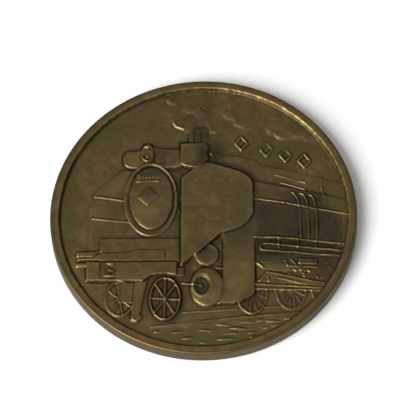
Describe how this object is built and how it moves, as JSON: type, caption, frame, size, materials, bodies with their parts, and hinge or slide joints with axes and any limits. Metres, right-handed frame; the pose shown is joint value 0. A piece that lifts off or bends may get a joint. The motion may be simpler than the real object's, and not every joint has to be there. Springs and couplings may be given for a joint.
{
  "type": "railway token",
  "caption": "Round struck brass token with a raised rim, a steam locomotive in low relief on one face and a spoked wheel between sprigs on the other.",
  "frame": {"origin": "centre of the reverse rim's plane, which the token lies on", "axes": "+Z out of the obverse, +X to the right of the obverse picture, +Y to the top of it"},
  "size_m": [0.031, 0.031, 0.0017],
  "materials": {
    "aged_brass": "struck, worn and darkened with age"
  },
  "bodies": {
    "root": {"struck_token": "aged_brass"}
  },
  "joints": []
}
